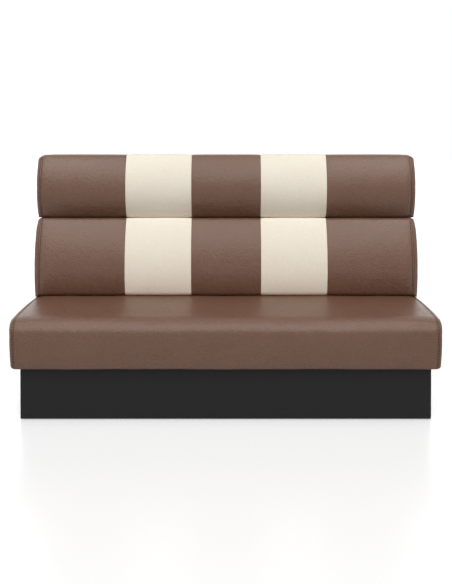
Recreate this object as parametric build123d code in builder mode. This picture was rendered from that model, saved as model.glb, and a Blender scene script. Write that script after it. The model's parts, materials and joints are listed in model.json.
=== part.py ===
"""Upholstered bench module with two back rolls on a black plinth, in millimetres.

+X runs along the bench, +Y to the rear, +Z up. The origin is on the floor, under the
middle of the module.
"""

import os
from dataclasses import dataclass
from math import asin, cos, hypot, radians, sin, sqrt

from build123d import *

# Overall size
module_width = 1800
module_depth = 650

# Plinth
floor_gap = 4
plinth_height = 226
plinth_board_thickness = 18
plinth_end_setback = 30
plinth_front_setback = 60
plinth_rear_setback = 10
plinth_edge_chamfer = 1
plinth_cross_rail_height = 166
corner_block_width = 50
corner_block_height = 80
corner_block_bottom = 16
fixing_block_length = 100
fixing_block_width = 40
fixing_block_height = 40
fixing_block_setback = 97

# Levelling feet
foot_travel = 12
foot_pad_radius = 20
foot_pad_height = 8
foot_pad_chamfer = 1.5
foot_collar_across_flats = 17
foot_stem_radius = 5
foot_stem_spare = 5
foot_root_across_flats = 10
foot_stem_pocket = 5
foot_stem_side_gap = 1
foot_stem_end_gap = 4
foot_insert_radius = 8
foot_insert_length = 25
foot_insert_flange_radius = 11
foot_insert_flange_thickness = 1.5

# Upholstery
cover_thickness = 1.2
dust_cover_thickness = 0.8
dust_cover_margin = 2
seam_draw_in = 2.5
seam_shoulder = 48
seam_shares = ((0, 1), (0.3, 0.32), (1, 0))
roll_crown = 0.6
seat_crown = 2.4
staple_margin = 40

# Seat
seat_thickness = 212
seat_nose_rise = 147
seat_nose_radius = 60
seat_nose_turn_deg = 86.8
seat_front_lean = 15
seat_toe_radius = 14
seat_flat_depth = 154.7
seat_end_dome = 15
seat_end_edge = 14
seat_frame_height = 88
seat_rail_thickness = 28
seat_front_foam = 28
seat_end_foam = 13
seat_cross_rail_x = 304
seat_cross_rail_drop = 6
seat_cross_rail_dip = 20
seat_cross_rail_shoulder = 30

# Webbing
strap_width = 50
strap_thickness = 1.8
strap_gap = 0.3
strap_lift = 0.1
strap_end_margin = 6
strap_flat_margin = 4
short_strap_count = 14
long_strap_count = 4

# Back frame
back_thickness = 40
back_height = 855
back_end_setback = 10
back_front_board_thickness = 9
back_rear_board_thickness = 4
back_upright_width = 40
back_middle_upright_x = 290
back_top_rail_height = 60
back_bottom_rail_height = 70
back_middle_rail_height = 70
back_middle_rail_level = 680

# Back rolls
centre_panel_width = 329.4
cream_panel_width = 313.6
lower_roll_height = 364.7
lower_roll_depth = 158.2
lower_roll_nose_rise = 112.7
lower_roll_top_setback = 71.5
lower_roll_bottom_setback = 19
lower_roll_top_corner = 20
lower_roll_bottom_corner = 15
lower_roll_end_dome = 15
upper_roll_height = 302.7
upper_roll_depth = 125.7
upper_roll_nose_rise = 142.7
upper_roll_top_setback = 56
upper_roll_bottom_setback = 50
upper_roll_top_corner = 26
upper_roll_bottom_corner = 20
upper_roll_end_dome = 11.5
roll_end_edge = 20
roll_board_thickness = 12

# Chords that stand for the curves of a section, and flats round a fastener and a foot's pad
nose_chords = 6
front_chords = 5
top_chords = 5
corner_chords = 4
fastener_sides = 8
foot_pad_sides = 24
dome_angles_deg = (0, 25, 50, 72, 90)

# Fasteners and fits
soft_clearance = 0.3
fit_clearance = 0.05
cut_overrun = 10
screw_shank_radius = 2.5
screw_head_radius = 5
screw_head_depth = 3
screw_length = 60
front_screw_rise = 56
end_screw_rise = 68
coach_shank_radius = 3
coach_length = 72
coach_head_across_flats = 13
coach_head_height = 5.5
back_bolt_radius = 4
back_bolt_length = 55
back_bolt_head_across_flats = 13
back_bolt_head_height = 5.3
back_bolt_rise = 35
back_bolt_inner_x = 200
back_bolt_end_setback = 172
insert_radius = 7
insert_length = 20
insert_flange_radius = 9
link_insert_low_level = 350
link_insert_spacing = 600
roll_bolt_radius = 3
roll_bolt_length = 22
roll_bolt_head_across_flats = 10
roll_bolt_head_height = 4
washer_radius = 9
washer_thickness = 1.6
roll_bolt_end_setback = 305
lower_roll_bolt_rise = 65
lower_roll_bolt_spacing = 90
upper_roll_bolt_rise = 55
upper_roll_bolt_spacing = 130
tee_nut_barrel_radius = 4.5
tee_nut_length = 10
tee_nut_flange_radius = 9.5
tee_nut_flange_thickness = 1.5

# Levels
plinth_top = floor_gap + plinth_height
seat_bottom = plinth_top + dust_cover_thickness
frame_bottom = seat_bottom + cover_thickness
frame_top = frame_bottom + seat_frame_height
seat_cross_rail_top = frame_top - seat_cross_rail_drop
seat_level = plinth_top + seat_thickness
seat_nose_level = seat_bottom + seat_nose_rise
back_top = plinth_top + back_height
back_frame_top = back_top - cover_thickness
lower_roll_bottom = seat_level + soft_clearance
lower_roll_top = lower_roll_bottom + lower_roll_height
upper_roll_bottom = lower_roll_top + soft_clearance
upper_roll_top = upper_roll_bottom + upper_roll_height

# Places along the depth
front_y = -module_depth / 2
rear_y = module_depth / 2
plinth_front_y = front_y + plinth_front_setback
plinth_rear_y = rear_y - plinth_rear_setback
plinth_inner_front_y = plinth_front_y + plinth_board_thickness
plinth_inner_rear_y = plinth_rear_y - plinth_board_thickness
fixing_block_front_y = plinth_inner_front_y + fixing_block_setback
fixing_block_rear_y = plinth_inner_rear_y - fixing_block_setback
back_front_y = rear_y - back_thickness
back_rail_front_y = back_front_y + back_front_board_thickness
back_rail_rear_y = rear_y - cover_thickness - back_rear_board_thickness
upholstery_rear_y = back_front_y - soft_clearance
seat_top_break_y = upholstery_rear_y - seat_flat_depth
frame_front_y = front_y + seat_front_foam
frame_rear_y = upholstery_rear_y - cover_thickness - soft_clearance
rear_rail_front_y = frame_rear_y - seat_rail_thickness
front_rail_rear_y = frame_front_y + seat_rail_thickness
webbing_middle_y = (frame_front_y + frame_rear_y) / 2
roll_board_rear_y = frame_rear_y
roll_board_front_y = roll_board_rear_y - roll_board_thickness

# Places along the width
plinth_end_x = module_width / 2 - plinth_end_setback
plinth_inner_x = plinth_end_x - plinth_board_thickness
plinth_cross_rail_x = seat_cross_rail_x - fixing_block_width / 2 - plinth_board_thickness / 2
end_seam_x = module_width / 2 - seat_end_dome
frame_end_x = end_seam_x - seat_end_foam
back_bolt_outer_x = frame_end_x - back_bolt_end_setback
roll_bolt_x = end_seam_x - roll_bolt_end_setback
centre_seam_x = centre_panel_width / 2
cream_seam_x = centre_seam_x + cream_panel_width
back_end_x = module_width / 2 - back_end_setback
back_frame_end_x = back_end_x - cover_thickness
end_upright_x = back_frame_end_x - back_upright_width / 2
upright_places = [-end_upright_x, -back_middle_upright_x, back_middle_upright_x, end_upright_x]
foot_x = plinth_inner_x - corner_block_width / 2
foot_front_y = plinth_inner_front_y + corner_block_width / 2
foot_rear_y = plinth_inner_rear_y - corner_block_width / 2

# Depth of padding under a cover, and webbing levels
cover_inner_inset = seam_draw_in + cover_thickness
foam_inset = cover_inner_inset + soft_clearance
strap_level = frame_top + strap_lift + strap_thickness / 2
strap_wave = (strap_thickness + strap_gap) / 2
webbing_top = strap_level + strap_wave + strap_thickness / 2
short_strap_pitch = 2 * frame_end_x / (short_strap_count + 1)
long_strap_pitch = (frame_rear_y - frame_front_y) / (long_strap_count + 1)

# A foot's stem stays in its insert when the foot is screwed right out
foot_stem_top = corner_block_bottom + foot_insert_length + foot_travel + foot_stem_spare
foot_stem_hole_top = foot_stem_top + foot_stem_end_gap

foot_corners = [
    ("front_left", -foot_x, foot_front_y),
    ("front_right", foot_x, foot_front_y),
    ("rear_left", -foot_x, foot_rear_y),
    ("rear_right", foot_x, foot_rear_y),
]


@dataclass
class Roll:
    """Outline of one back roll, seen from the end."""

    bottom: float
    top: float
    front: float
    nose_level: float
    top_setback: float
    bottom_setback: float
    top_corner: float
    bottom_corner: float
    end_dome: float
    bolt_levels: list


lower_roll = Roll(
    lower_roll_bottom,
    lower_roll_top,
    upholstery_rear_y - lower_roll_depth,
    lower_roll_bottom + lower_roll_nose_rise,
    lower_roll_top_setback,
    lower_roll_bottom_setback,
    lower_roll_top_corner,
    lower_roll_bottom_corner,
    lower_roll_end_dome,
    [
        lower_roll_bottom + lower_roll_bolt_rise,
        lower_roll_bottom + lower_roll_bolt_rise + lower_roll_bolt_spacing,
    ],
)
upper_roll = Roll(
    upper_roll_bottom,
    upper_roll_top,
    upholstery_rear_y - upper_roll_depth,
    upper_roll_bottom + upper_roll_nose_rise,
    upper_roll_top_setback,
    upper_roll_bottom_setback,
    upper_roll_top_corner,
    upper_roll_bottom_corner,
    upper_roll_end_dome,
    [
        upper_roll_bottom + upper_roll_bolt_rise,
        upper_roll_bottom + upper_roll_bolt_rise + upper_roll_bolt_spacing,
    ],
)
rolls = {"lower": lower_roll, "upper": upper_roll}
roll_panels = [
    ("brown_left", -end_seam_x, -cream_seam_x),
    ("cream_left", -cream_seam_x, -centre_seam_x),
    ("brown_centre", -centre_seam_x, centre_seam_x),
    ("cream_right", centre_seam_x, cream_seam_x),
    ("brown_right", cream_seam_x, end_seam_x),
]
roll_bolt_points = [
    (side * roll_bolt_x, level)
    for roll in rolls.values()
    for level in roll.bolt_levels
    for side in (-1, 1)
]
back_bolt_points = [
    (x, frame_bottom + back_bolt_rise)
    for x in (-back_bolt_outer_x, -back_bolt_inner_x, back_bolt_inner_x, back_bolt_outer_x)
]
link_insert_points = [
    (side * end_upright_x, link_insert_low_level + rise)
    for side in (-1, 1)
    for rise in (0, link_insert_spacing)
]
plinth_screw_places = []
for _, x, y in foot_corners:
    along = -1 if y < 0 else 1
    outward = -1 if x < 0 else 1
    rear_face_y = y - along * corner_block_width / 2
    inner_face_x = x - outward * corner_block_width / 2
    plinth_screw_places.append(((x, rear_face_y, corner_block_bottom + front_screw_rise), (0, along, 0)))
    plinth_screw_places.append(((inner_face_x, y, corner_block_bottom + end_screw_rise), (outward, 0, 0)))
fixing_screw_points = [
    (side * seat_cross_rail_x, y)
    for side in (-1, 1)
    for y in (fixing_block_front_y, fixing_block_rear_y)
]

os.makedirs("parts", exist_ok=True)


def save(piece, name):
    """Label a finished piece and write it to its own STEP file."""
    piece.part.label = name
    export_step(piece.part, f"parts/{name}.step")


def board(low, high, mode=Mode.ADD):
    """Square-edged board between two opposite corners."""
    size = [b - a for a, b in zip(low, high)]
    centre = tuple((a + b) / 2 for a, b in zip(low, high))
    with Locations(centre):
        Box(*size, mode=mode)


def disc(plane, points, radius, amount, mode=Mode.ADD):
    """Round bars or holes at points of a plane, square to it."""
    with BuildSketch(plane) as rounds:
        with Locations(*points):
            Circle(radius)
    extrude(rounds.sketch, amount=amount, mode=mode)


def prism(plane, points, sides, across_flats, amount, mode=Mode.ADD):
    """Bars or holes with flats, at points of a plane and square to it."""
    with BuildSketch(plane) as flats:
        with Locations(*points):
            RegularPolygon(across_flats / 2, sides, major_radius=False)
    extrude(flats.sketch, amount=amount, mode=mode)


def pin(plane, points, radius, amount, mode=Mode.ADD):
    """Bars or holes of repeated fasteners, with a few flats to keep their meshes light."""
    prism(plane, points, fastener_sides, 2 * radius, amount, mode)


def hexagon(plane, points, across_flats, amount, mode=Mode.ADD):
    """Hexagons at points of a plane, square to it."""
    prism(plane, points, 6, across_flats, amount, mode)


def countersunk(head, drive, grow=0, mode=Mode.ADD):
    """Countersunk screw from its head's face along drive, or its hole when grown."""
    plane = Plane(head, z_dir=drive)
    pin(plane, [(0, 0)], screw_shank_radius + grow, screw_length + grow, mode)
    with BuildSketch(plane) as mouth:
        RegularPolygon(screw_head_radius + grow, fastener_sides, major_radius=False)
    with BuildSketch(plane.offset(screw_head_depth)) as throat:
        RegularPolygon(screw_shank_radius + grow, fastener_sides, major_radius=False)
    loft([mouth.sketch, throat.sketch], ruled=True, mode=mode)


def cut_screw_holes():
    """Holes for the screws between the corner blocks and the plinth boards."""
    for head, drive in plinth_screw_places:
        countersunk(head, drive, fit_clearance, Mode.SUBTRACT)


def flanged_inserts(plane, points, into, flange, bore):
    """Threaded inserts whose flanges lie on a plane, into the wood behind it."""
    pin(plane, points, insert_flange_radius, into * flange)
    pin(plane, points, insert_radius, into * (flange + insert_length))
    bore(plane, points, back_bolt_radius + fit_clearance, into * (flange + insert_length), Mode.SUBTRACT)


def facing_front(y):
    """Plane across the depth at y, whose extrusions run towards the front."""
    return Plane.XZ.offset(-y)


def curve_radius(height, setback):
    """Radius of an arc that starts upright and falls back by setback over height."""
    return (height**2 + setback**2) / (2 * setback)


def arc_points(centre, radius, start, end, chords, lift=1):
    """Points of an arc ahead of its centre, by angles above or below the horizontal."""
    return [
        (
            centre[0] - radius * cos(start + (end - start) * step / chords),
            centre[1] + lift * radius * sin(start + (end - start) * step / chords),
        )
        for step in range(chords + 1)
    ]


def bulge(nose, radius, height, corner, lift):
    """Front curve from a nose to a flat top or bottom, through a rounded corner."""
    end = asin((height - corner) / (radius - corner))
    centre = (nose[0] + radius, nose[1])
    corner_reach = sqrt((radius - corner) ** 2 - (height - corner) ** 2)
    corner_centre = (centre[0] - corner_reach, nose[1] + lift * (height - corner))
    front = arc_points(centre, radius, 0, end, front_chords, lift)
    return front[:-1] + arc_points(corner_centre, corner, end, radians(90), corner_chords, lift)


def face_at(x, points):
    """Section across the bench at x."""
    with BuildSketch(Plane.YZ.offset(x)) as section:
        with BuildLine():
            Polyline(*points, close=True)
        make_face()
    return section.sketch


def roll_section(x, roll, inset, rear):
    """Section of a roll: a bulging front between a flat top, bottom and rear."""
    nose = (roll.front + inset, roll.nose_level)
    curves = []
    for edge, setback, corner, lift in (
        (roll.top, roll.top_setback, roll.top_corner, 1),
        (roll.bottom, roll.bottom_setback, roll.bottom_corner, -1),
    ):
        height = lift * (edge - roll.nose_level)
        radius = curve_radius(height, setback) - inset
        curves.append(bulge(nose, radius, height - inset, max(corner - inset, corner / 2), lift))
    upper, lower = curves
    rear_edge = [(rear, lower[-1][1]), (rear, upper[-1][1])]
    return face_at(x, upper[::-1] + lower[1:] + rear_edge)


def seat_section(x, inset, bottom, rear):
    """Section of the seat: leaning front, round nose, crowned top and flat rear."""
    turn = radians(seat_nose_turn_deg)
    radius = seat_nose_radius - inset
    nose = (front_y + inset, seat_nose_level)
    nose_curve = arc_points((nose[0] + radius, nose[1]), radius, 0, turn, nose_chords)
    run = seat_top_break_y - nose_curve[-1][0]
    rise = seat_level - inset - nose_curve[-1][1]
    top_radius = hypot(run, rise) ** 2 / (2 * (run * cos(turn) - rise * sin(turn)))
    top_centre = (nose_curve[-1][0] + top_radius * cos(turn), nose_curve[-1][1] - top_radius * sin(turn))
    top_turn = turn + 2 * asin(hypot(run, rise) / (2 * top_radius))
    top_curve = arc_points(top_centre, top_radius, turn, top_turn, top_chords)
    drop = seat_nose_level - bottom
    toe_corner = max(seat_toe_radius - inset, seat_toe_radius / 2)
    front_curve = bulge(nose, curve_radius(drop, seat_front_lean), drop, toe_corner, -1)
    rear_edge = [(rear, top_curve[-1][1]), (rear, bottom)]
    return face_at(x, front_curve[:0:-1] + nose_curve + top_curve[1:] + rear_edge)


def panel_stations(left, right, crown):
    """Where a panel is drawn in: sharply at its two seams, and not at all in its middle."""
    near_seam = [
        (seam_shoulder * along, crown + (seam_draw_in - crown) * drawn) for along, drawn in seam_shares
    ]
    from_left = [(left + along, inset) for along, inset in near_seam]
    from_right = [(right - along, inset) for along, inset in reversed(near_seam)]
    return from_left + [((left + right) / 2, 0)] + from_right


def dome_stations(side, dome, edge):
    """Sections of a domed end, from its seam out to its flat middle."""
    return [
        (side * (end_seam_x + dome * sin(radians(angle))), seam_draw_in + edge * (1 - cos(radians(angle))))
        for angle in dome_angles_deg
    ]


def strap_outline(middle, length, crossings, starts_over):
    """Edge view of a strap that passes over and under the straps it crosses."""
    flat = strap_width / 2 + strap_flat_margin
    centre_line = [(-length / 2, 0), (crossings[0] - strap_width, 0)]
    over = starts_over
    for crossing in crossings:
        height = strap_wave if over else -strap_wave
        centre_line.append((crossing - flat, height))
        centre_line.append((crossing + flat, height))
        over = not over
    centre_line += [(crossings[-1] + strap_width, 0), (length / 2, 0)]
    upper = [(middle + s, strap_level + z + strap_thickness / 2) for s, z in centre_line]
    lower = [(middle + s, strap_level + z - strap_thickness / 2) for s, z in reversed(centre_line)]
    return upper + lower


def spread(count, pitch):
    """Places of a centred row."""
    return [(index - (count - 1) / 2) * pitch for index in range(count)]


# Plinth boards, the long ones running past the end boards
with BuildPart() as plinth_front_board:
    board((-plinth_end_x, plinth_front_y, floor_gap), (plinth_end_x, plinth_inner_front_y, plinth_top))
    outer_edges = plinth_front_board.edges().filter_by(Axis.Z).group_by(Axis.Y)[0]
    chamfer(outer_edges, plinth_edge_chamfer)
    cut_screw_holes()
save(plinth_front_board, "plinth_front_board")

with BuildPart() as plinth_rear_board:
    board((-plinth_end_x, plinth_inner_rear_y, floor_gap), (plinth_end_x, plinth_rear_y, plinth_top))
    outer_edges = plinth_rear_board.edges().filter_by(Axis.Z).group_by(Axis.Y)[-1]
    chamfer(outer_edges, plinth_edge_chamfer)
    cut_screw_holes()
save(plinth_rear_board, "plinth_rear_board")

for name, side in (("left", -1), ("right", 1)):
    near_x, far_x = sorted((side * plinth_inner_x, side * plinth_end_x))
    with BuildPart() as plinth_end_board:
        board((near_x, plinth_inner_front_y, floor_gap), (far_x, plinth_inner_rear_y, plinth_top))
        cut_screw_holes()
    save(plinth_end_board, f"plinth_{name}_end_board")

# Cross rails, held well above the floor so that cables can pass and it may be uneven
with BuildPart() as plinth_cross_rails:
    for side in (-1, 1):
        near_x = side * plinth_cross_rail_x - plinth_board_thickness / 2
        board(
            (near_x, plinth_inner_front_y, plinth_top - plinth_cross_rail_height),
            (near_x + plinth_board_thickness, plinth_inner_rear_y, plinth_top),
        )
save(plinth_cross_rails, "plinth_cross_rails")

# Corner blocks, each with a stepped hole for a threaded insert and its foot
half_block = corner_block_width / 2
with BuildPart() as plinth_corner_blocks:
    for _, foot_x_here, foot_y in foot_corners:
        board(
            (foot_x_here - half_block, foot_y - half_block, corner_block_bottom),
            (foot_x_here + half_block, foot_y + half_block, corner_block_bottom + corner_block_height),
        )
    foot_points = [(x, y) for _, x, y in foot_corners]
    block_base = Plane.XY.offset(corner_block_bottom)
    pin(block_base, foot_points, foot_insert_radius + fit_clearance, foot_insert_length, Mode.SUBTRACT)
    pin(
        block_base,
        foot_points,
        foot_stem_radius + foot_stem_side_gap,
        foot_stem_hole_top - corner_block_bottom,
        Mode.SUBTRACT,
    )
    cut_screw_holes()
save(plinth_corner_blocks, "plinth_corner_blocks")

with BuildPart() as plinth_screws:
    for head, drive in plinth_screw_places:
        countersunk(head, drive)
save(plinth_screws, "plinth_screws")

# Flanged sleeves that the feet screw into
with BuildPart() as foot_inserts:
    pin(block_base, foot_points, foot_insert_radius, foot_insert_length)
    pin(block_base, foot_points, foot_insert_flange_radius, -foot_insert_flange_thickness)
    disc(
        block_base.offset(-foot_insert_flange_thickness),
        foot_points,
        foot_stem_radius + fit_clearance,
        foot_insert_flange_thickness + foot_insert_length,
        Mode.SUBTRACT,
    )
save(foot_inserts, "foot_inserts")

# Levelling feet: a round pad with a hexagon collar, moulded round the root of a threaded stem
foot_collar_top = corner_block_bottom - foot_insert_flange_thickness - soft_clearance
root_plane = Plane.XY.offset(foot_stem_pocket)
root_height = foot_collar_top - foot_stem_pocket
for corner, x, y in foot_corners:
    with BuildPart() as foot_pad:
        prism(Plane.XY, [(x, y)], foot_pad_sides, 2 * foot_pad_radius, foot_pad_height)
        chamfer(foot_pad.edges().group_by(Axis.Z)[-1], foot_pad_chamfer)
        hexagon(
            Plane.XY.offset(foot_pad_height),
            [(x, y)],
            foot_collar_across_flats,
            foot_collar_top - foot_pad_height,
        )
        hexagon(root_plane, [(x, y)], foot_root_across_flats, root_height, Mode.SUBTRACT)
    save(foot_pad, f"foot_pad_{corner}")
    with BuildPart() as foot_stem:
        hexagon(root_plane, [(x, y)], foot_root_across_flats, root_height)
        disc(Plane.XY.offset(foot_collar_top), [(x, y)], foot_stem_radius, foot_stem_top - foot_collar_top)
    save(foot_stem, f"foot_stem_{corner}")

# Blocks beside the cross rails, and the coach screws that hold the seat down on them
fixing_half_length = fixing_block_length / 2
fixing_half_width = fixing_block_width / 2
fixing_block_bottom = plinth_top - fixing_block_height
with BuildPart() as plinth_fixing_blocks:
    for x, y in fixing_screw_points:
        board(
            (x - fixing_half_width, y - fixing_half_length, fixing_block_bottom),
            (x + fixing_half_width, y + fixing_half_length, plinth_top),
        )
    pin(
        Plane.XY.offset(fixing_block_bottom),
        fixing_screw_points,
        coach_shank_radius + fit_clearance,
        fixing_block_height,
        Mode.SUBTRACT,
    )
save(plinth_fixing_blocks, "plinth_fixing_blocks")

with BuildPart() as seat_fixing_screws:
    under_block = Plane.XY.offset(fixing_block_bottom)
    pin(under_block, fixing_screw_points, washer_radius, -washer_thickness)
    hexagon(
        under_block.offset(-washer_thickness),
        fixing_screw_points,
        coach_head_across_flats,
        -coach_head_height,
    )
    pin(under_block, fixing_screw_points, coach_shank_radius, coach_length)
save(seat_fixing_screws, "seat_fixing_screws")

# Seat frame
with BuildPart() as seat_front_rail:
    board((-frame_end_x, frame_front_y, frame_bottom), (frame_end_x, front_rail_rear_y, frame_top))
save(seat_front_rail, "seat_front_rail")

with BuildPart() as seat_rear_rail:
    board((-frame_end_x, rear_rail_front_y, frame_bottom), (frame_end_x, frame_rear_y, frame_top))
    pin(
        facing_front(frame_rear_y),
        back_bolt_points,
        back_bolt_radius + fit_clearance,
        seat_rail_thickness,
        Mode.SUBTRACT,
    )
save(seat_rear_rail, "seat_rear_rail")

with BuildPart() as seat_end_rails:
    for side in (-1, 1):
        near_x, far_x = sorted((side * frame_end_x, side * (frame_end_x - seat_rail_thickness)))
        board((near_x, front_rail_rear_y, frame_bottom), (far_x, rear_rail_front_y, frame_top))
save(seat_end_rails, "seat_end_rails")

# Cross rails, dipped along the top so that the webbing can give
frame_middle_y = (front_rail_rear_y + rear_rail_front_y) / 2
dip_start_y = front_rail_rear_y + seat_cross_rail_shoulder
dip_end_y = rear_rail_front_y - seat_cross_rail_shoulder
with BuildPart() as seat_cross_rails:
    for side in (-1, 1):
        with BuildSketch(Plane.YZ.offset(side * seat_cross_rail_x)) as rail_outline:
            with BuildLine():
                Polyline(
                    (dip_start_y, seat_cross_rail_top),
                    (front_rail_rear_y, seat_cross_rail_top),
                    (front_rail_rear_y, frame_bottom),
                    (rear_rail_front_y, frame_bottom),
                    (rear_rail_front_y, seat_cross_rail_top),
                    (dip_end_y, seat_cross_rail_top),
                )
                ThreePointArc(
                    (dip_end_y, seat_cross_rail_top),
                    (frame_middle_y, seat_cross_rail_top - seat_cross_rail_dip),
                    (dip_start_y, seat_cross_rail_top),
                )
            make_face()
        extrude(rail_outline.sketch, amount=seat_rail_thickness / 2, both=True)
    pin(
        Plane.XY.offset(frame_bottom),
        fixing_screw_points,
        coach_shank_radius + fit_clearance,
        coach_length - fixing_block_height,
        Mode.SUBTRACT,
    )
save(seat_cross_rails, "seat_cross_rails")

# Interlaced webbing: every strap passes over one crossing strap and under the next
short_strap_places = spread(short_strap_count, short_strap_pitch)
long_strap_places = spread(long_strap_count, long_strap_pitch)
short_strap_length = frame_rear_y - frame_front_y - 2 * strap_end_margin
long_strap_length = 2 * (frame_end_x - strap_end_margin)
with BuildPart() as seat_webbing_short:
    for index, x in enumerate(short_strap_places):
        outline = strap_outline(webbing_middle_y, short_strap_length, long_strap_places, index % 2 == 0)
        with BuildSketch(Plane.YZ.offset(x)) as strap_edge:
            with BuildLine():
                Polyline(*outline, close=True)
            make_face()
        extrude(strap_edge.sketch, amount=strap_width / 2, both=True)
save(seat_webbing_short, "seat_webbing_short")

with BuildPart() as seat_webbing_long:
    for index, y in enumerate(long_strap_places):
        outline = strap_outline(0, long_strap_length, short_strap_places, index % 2 == 1)
        with BuildSketch(facing_front(webbing_middle_y + y)) as strap_edge:
            with BuildLine():
                Polyline(*outline, close=True)
            make_face()
        extrude(strap_edge.sketch, amount=strap_width / 2, both=True)
save(seat_webbing_long, "seat_webbing_long")

# Seat foam, moulded over the frame and the webbing
with BuildPart() as seat_foam:
    foam_end_x = end_seam_x - soft_clearance
    extrude(
        seat_section(-foam_end_x, foam_inset, frame_bottom, frame_rear_y),
        amount=2 * foam_end_x,
    )
    board(
        (-frame_end_x - soft_clearance, frame_front_y - soft_clearance, frame_bottom - cut_overrun),
        (frame_end_x + soft_clearance, frame_rear_y + cut_overrun, webbing_top + soft_clearance),
        Mode.SUBTRACT,
    )
save(seat_foam, "seat_foam")

# Seat cover, crowned towards the middle and drawn in at its end seams
with BuildPart() as seat_cover_main:
    loft(
        [
            seat_section(x, inset, seat_bottom, upholstery_rear_y)
            for x, inset in panel_stations(-end_seam_x, end_seam_x, seat_crown)
        ],
        ruled=True,
    )
    extrude(
        seat_section(-end_seam_x, cover_inner_inset, frame_bottom, upholstery_rear_y - cover_thickness),
        amount=2 * end_seam_x,
        mode=Mode.SUBTRACT,
    )
    board(
        (-end_seam_x, front_y + seat_front_lean + staple_margin, seat_bottom - cut_overrun),
        (end_seam_x, upholstery_rear_y - staple_margin, frame_bottom + soft_clearance),
        Mode.SUBTRACT,
    )
    pin(
        facing_front(frame_rear_y - soft_clearance),
        back_bolt_points,
        back_bolt_radius + fit_clearance,
        -cut_overrun,
        Mode.SUBTRACT,
    )
save(seat_cover_main, "seat_cover_main")

for name, side in (("left", -1), ("right", 1)):
    with BuildPart() as seat_cover_end:
        loft(
            [
                seat_section(x, inset, seat_bottom, upholstery_rear_y)
                for x, inset in dome_stations(side, seat_end_dome, seat_end_edge)
            ],
            ruled=True,
        )
    save(seat_cover_end, f"seat_cover_{name}_end")

with BuildPart() as seat_dust_cover:
    board(
        (-frame_end_x + dust_cover_margin, frame_front_y + dust_cover_margin, plinth_top),
        (frame_end_x - dust_cover_margin, frame_rear_y - dust_cover_margin, seat_bottom),
    )
    pin(
        Plane.XY.offset(plinth_top),
        fixing_screw_points,
        coach_shank_radius + fit_clearance,
        dust_cover_thickness,
        Mode.SUBTRACT,
    )
save(seat_dust_cover, "seat_dust_cover")

# Back frame
upright_half = back_upright_width / 2
rail_bottom_top = plinth_top + back_bottom_rail_height
rail_top_bottom = back_frame_top - back_top_rail_height
with BuildPart() as back_uprights:
    for x in upright_places:
        board(
            (x - upright_half, back_rail_front_y, rail_bottom_top),
            (x + upright_half, back_rail_rear_y, rail_top_bottom),
        )
    pin(
        facing_front(back_rail_rear_y),
        link_insert_points,
        insert_radius + fit_clearance,
        insert_length,
        Mode.SUBTRACT,
    )
save(back_uprights, "back_uprights")

with BuildPart() as back_top_rail:
    board(
        (-back_frame_end_x, back_rail_front_y, rail_top_bottom),
        (back_frame_end_x, back_rail_rear_y, back_frame_top),
    )
save(back_top_rail, "back_top_rail")

with BuildPart() as back_bottom_rail:
    board(
        (-back_frame_end_x, back_rail_front_y, plinth_top),
        (back_frame_end_x, back_rail_rear_y, rail_bottom_top),
    )
    pin(
        facing_front(back_rail_front_y),
        back_bolt_points,
        insert_radius + fit_clearance,
        -insert_length,
        Mode.SUBTRACT,
    )
save(back_bottom_rail, "back_bottom_rail")

with BuildPart() as back_middle_rails:
    for left, right in zip(upright_places, upright_places[1:]):
        board(
            (left + upright_half, back_rail_front_y, back_middle_rail_level - back_middle_rail_height / 2),
            (right - upright_half, back_rail_rear_y, back_middle_rail_level + back_middle_rail_height / 2),
        )
save(back_middle_rails, "back_middle_rails")

with BuildPart() as back_front_board:
    board(
        (-back_frame_end_x, back_front_y, plinth_top),
        (back_frame_end_x, back_rail_front_y, back_frame_top),
    )
    pin(
        facing_front(back_rail_front_y),
        roll_bolt_points,
        roll_bolt_radius + fit_clearance,
        back_front_board_thickness,
        Mode.SUBTRACT,
    )
    pin(
        facing_front(back_rail_front_y),
        back_bolt_points,
        insert_flange_radius + fit_clearance,
        back_front_board_thickness,
        Mode.SUBTRACT,
    )
save(back_front_board, "back_front_board")

with BuildPart() as back_rear_board:
    board(
        (-back_frame_end_x, back_rail_rear_y, plinth_top),
        (back_frame_end_x, rear_y - cover_thickness, back_frame_top),
    )
    pin(
        facing_front(rear_y),
        link_insert_points,
        insert_radius + fit_clearance,
        cover_thickness + back_rear_board_thickness,
        Mode.SUBTRACT,
    )
save(back_rear_board, "back_rear_board")

# Back covers: a flat rear panel, and a border round the top and both ends
with BuildPart() as back_cover_rear:
    board((-back_end_x, rear_y - cover_thickness, plinth_top), (back_end_x, rear_y, back_top))
    pin(
        facing_front(rear_y),
        link_insert_points,
        insert_flange_radius + fit_clearance,
        cover_thickness,
        Mode.SUBTRACT,
    )
save(back_cover_rear, "back_cover_rear")

with BuildPart() as back_cover_border:
    board((-back_end_x, back_front_y, plinth_top), (back_end_x, rear_y - cover_thickness, back_top))
    board(
        (-back_frame_end_x, back_front_y - cut_overrun, plinth_top - cut_overrun),
        (back_frame_end_x, rear_y + cut_overrun, back_frame_top),
        Mode.SUBTRACT,
    )
save(back_cover_border, "back_cover_border")

# Flanged threaded inserts: at the rear for linking modules, at the front for the seat's bolts
with BuildPart() as linking_inserts:
    flanged_inserts(facing_front(rear_y), link_insert_points, 1, cover_thickness, disc)
save(linking_inserts, "linking_inserts")

with BuildPart() as back_fixing_inserts:
    insert_face = facing_front(back_rail_front_y - cover_thickness)
    flanged_inserts(insert_face, back_bolt_points, -1, cover_thickness, pin)
save(back_fixing_inserts, "back_fixing_inserts")

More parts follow.
